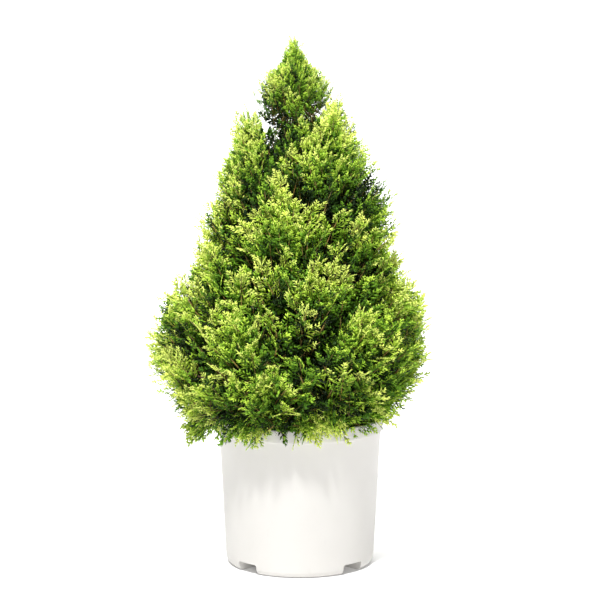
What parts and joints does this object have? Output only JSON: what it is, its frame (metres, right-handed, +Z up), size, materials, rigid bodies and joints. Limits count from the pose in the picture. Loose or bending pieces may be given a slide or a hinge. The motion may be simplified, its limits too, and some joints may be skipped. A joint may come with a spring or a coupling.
{
  "type": "potted false cypress",
  "caption": "Young conical false cypress with dense, flat, lime-tipped sprays on a straight trunk, in an off-white nursery pot with notched foot",
  "frame": {"origin": "middle of the pot's flat underside, on the ground", "axes": "+Z up along the pot's axis, -Y towards the side that the picture shows, +X to the right of it"},
  "size_m": [0.4759, 0.4662, 0.8768],
  "materials": {
    "pot": "satin",
    "potting_mix": "loose moist bark",
    "bark": "rough bark",
    "foliage": "scaly evergreen sprays"
  },
  "bodies": {
    "root": {"bough_lower_1": "bark", "bough_lower_2": "bark", "bough_lower_3": "bark", "bough_lower_4": "bark", "bough_lower_5": "bark", "bough_lower_6": "bark", "bough_lower_7": "bark", "bough_middle_1": "bark", "bough_middle_2": "bark", "bough_middle_3": "bark", "bough_middle_4": "bark", "bough_middle_5": "bark", "bough_middle_6": "bark", "bough_skirt_1": "bark", "bough_skirt_2": "bark", "bough_skirt_3": "bark", "bough_skirt_4": "bark", "bough_skirt_5": "bark", "bough_skirt_6": "bark", "bough_skirt_7": "bark", "foliage_leader": "foliage", "foliage_lower_1": "foliage", "foliage_lower_2": "foliage", "foliage_lower_3": "foliage", "foliage_lower_4": "foliage", "foliage_lower_5": "foliage", "foliage_lower_6": "foliage", "foliage_lower_7": "foliage", "foliage_middle_1": "foliage", "foliage_middle_2": "foliage", "foliage_middle_3": "foliage", "foliage_middle_4": "foliage", "foliage_middle_5": "foliage", "foliage_middle_6": "foliage", "foliage_neck_1": "foliage", "foliage_neck_2": "foliage", "foliage_neck_3": "foliage", "foliage_shoulder_1": "foliage", "foliage_shoulder_2": "foliage", "foliage_shoulder_3": "foliage", "foliage_shoulder_4": "foliage", "foliage_skirt_1": "foliage", "foliage_skirt_2": "foliage", "foliage_skirt_3": "foliage", "foliage_skirt_4": "foliage", "foliage_skirt_5": "foliage", "foliage_skirt_6": "foliage", "foliage_skirt_7": "foliage", "foliage_upper_1": "foliage", "foliage_upper_2": "foliage", "foliage_upper_3": "foliage", "foliage_upper_4": "foliage", "foliage_upper_5": "foliage", "pot": "pot", "potting_mix": "potting_mix", "trunk": "bark"}
  },
  "joints": []
}
